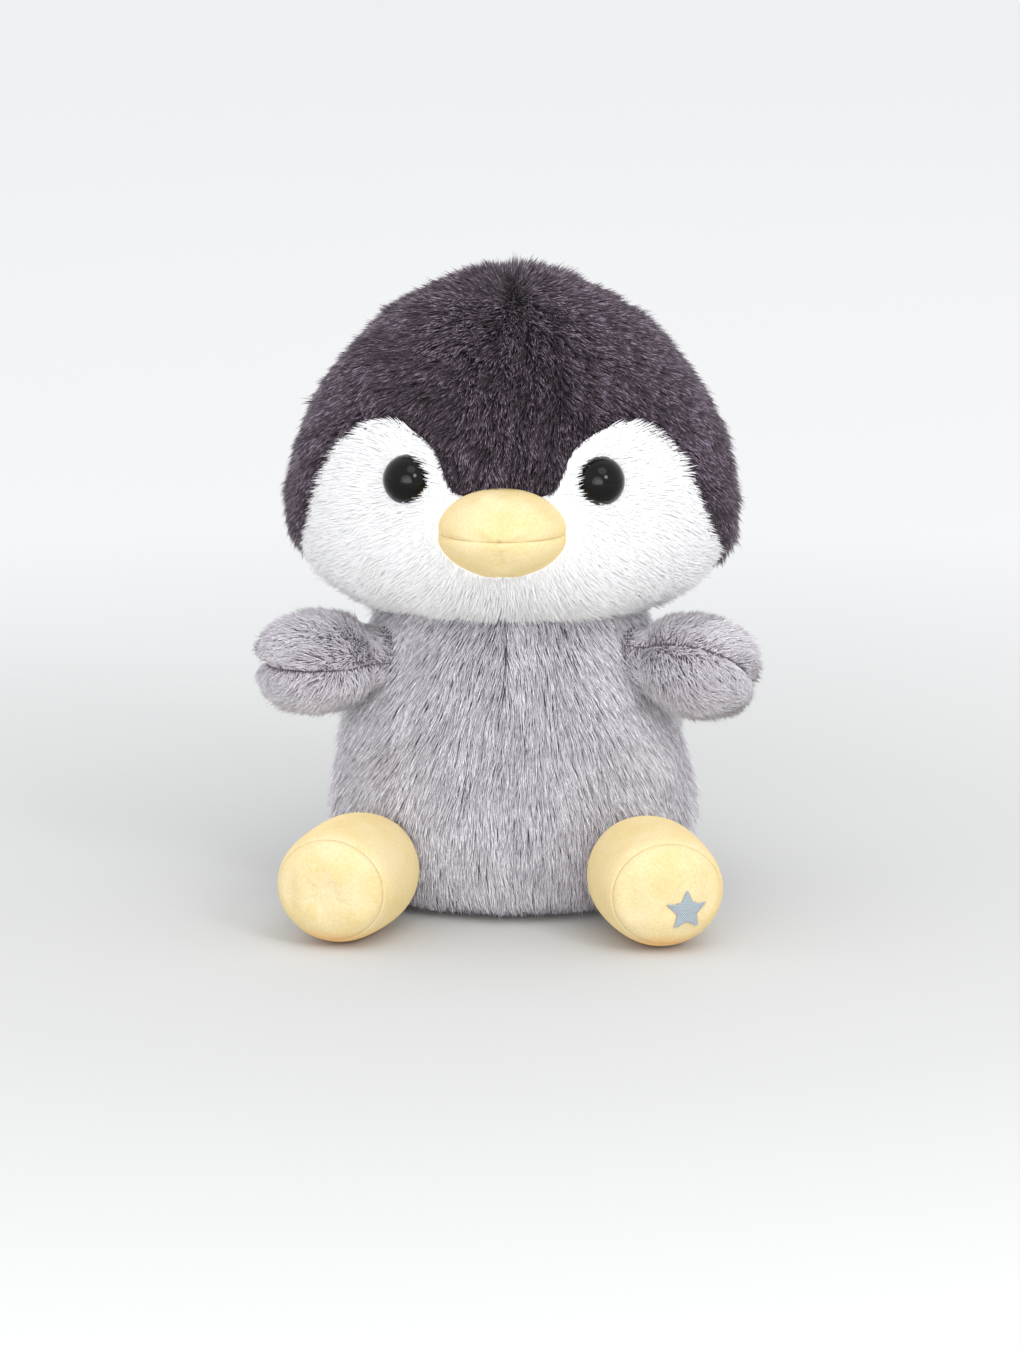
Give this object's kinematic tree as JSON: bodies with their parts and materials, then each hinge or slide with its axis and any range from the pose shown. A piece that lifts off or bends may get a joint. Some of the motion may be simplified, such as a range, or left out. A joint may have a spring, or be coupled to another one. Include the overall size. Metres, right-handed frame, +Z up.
{
  "type": "plush penguin",
  "caption": "Seated stuffed toy penguin: big round head with dark cap and white face, grey furry body, stub arms, velour beak and foot pods",
  "frame": {"origin": "on the floor, under the centre of the toy's box", "axes": "+Z up, -Y the way the penguin faces, +X to the viewer's right when facing it"},
  "size_m": [0.1425, 0.1376, 0.1825],
  "materials": {
    "cap_fur": "long matte pile, dark plum grey",
    "white_fur": "short dense white pile",
    "grey_fur": "long grey pile combed down",
    "arm_fur": "shorter dense light grey pile",
    "yellow_velour": "pale yellow velour, fine nap",
    "eye_plastic": "polished black",
    "washer_plastic": "natural moulded",
    "fibre": "loose white polyester fibre",
    "motif_thread": "grey satin stitch",
    "label_tape": "plain woven tape, blank"
  },
  "bodies": {
    "torso": {"body_front_left": "grey_fur", "body_front_right": "grey_fur", "body_back_left": "grey_fur", "body_back_right": "grey_fur", "base_panel": "grey_fur", "body_stuffing": "fibre", "care_label": "label_tape"},
    "neck": {"neck_stuffing": "fibre"},
    "head": {"cap_forehead": "cap_fur", "cap_back_left": "cap_fur", "cap_back_right": "cap_fur", "face_left": "white_fur", "face_right": "white_fur", "head_stuffing": "fibre", "eye_left": "eye_plastic", "eye_right": "eye_plastic", "eye_washer_left": "washer_plastic", "eye_washer_right": "washer_plastic", "beak_upper": "yellow_velour", "beak_lower": "yellow_velour", "beak_stuffing": "fibre"},
    "arm_left": {"arm_left_upper": "arm_fur", "arm_left_lower": "arm_fur", "arm_left_stuffing": "fibre"},
    "arm_right": {"arm_right_upper": "arm_fur", "arm_right_lower": "arm_fur", "arm_right_stuffing": "fibre"},
    "foot_left": {"foot_left_sole": "yellow_velour", "foot_left_wall": "yellow_velour", "foot_left_stuffing": "fibre"},
    "foot_right": {"foot_right_sole": "yellow_velour", "foot_right_wall": "yellow_velour", "foot_right_stuffing": "fibre", "foot_motif": "motif_thread"}
  },
  "joints": [
    {"name": "head_nod", "type": "hinge", "parent": "torso", "child": "neck", "pos_m": [0, 0.01289, 0.066], "axis": [1, 0, 0], "range_deg": [-8, 8], "stiffness_Nm_per_rad": 0.6},
    {"name": "head_turn", "type": "hinge", "parent": "neck", "child": "head", "pos_m": [0, 0.01289, 0.066], "axis": [0, 0, 1], "range_deg": [-20, 20], "stiffness_Nm_per_rad": 0.6},
    {"name": "arm_left_lift", "type": "hinge", "parent": "torso", "child": "arm_left", "pos_m": [-0.03863, -0.00595, 0.0725], "axis": [-0.4384, 0.8988, 0], "range_deg": [-18, 8], "stiffness_Nm_per_rad": 0.1},
    {"name": "arm_right_lift", "type": "hinge", "parent": "torso", "child": "arm_right", "pos_m": [0.03863, -0.00595, 0.0725], "axis": [-0.4384, -0.8988, 0], "range_deg": [-18, 8], "stiffness_Nm_per_rad": 0.1},
    {"name": "foot_left_flex", "type": "hinge", "parent": "torso", "child": "foot_left", "pos_m": [-0.03665, -0.02232, 0.017], "axis": [-0.9659, 0.2588, 0], "range_deg": [0, 12], "stiffness_Nm_per_rad": 0.1},
    {"name": "foot_right_flex", "type": "hinge", "parent": "torso", "child": "foot_right", "pos_m": [0.03665, -0.02232, 0.017], "axis": [-0.9659, -0.2588, 0], "range_deg": [0, 12], "stiffness_Nm_per_rad": 0.1}
  ]
}
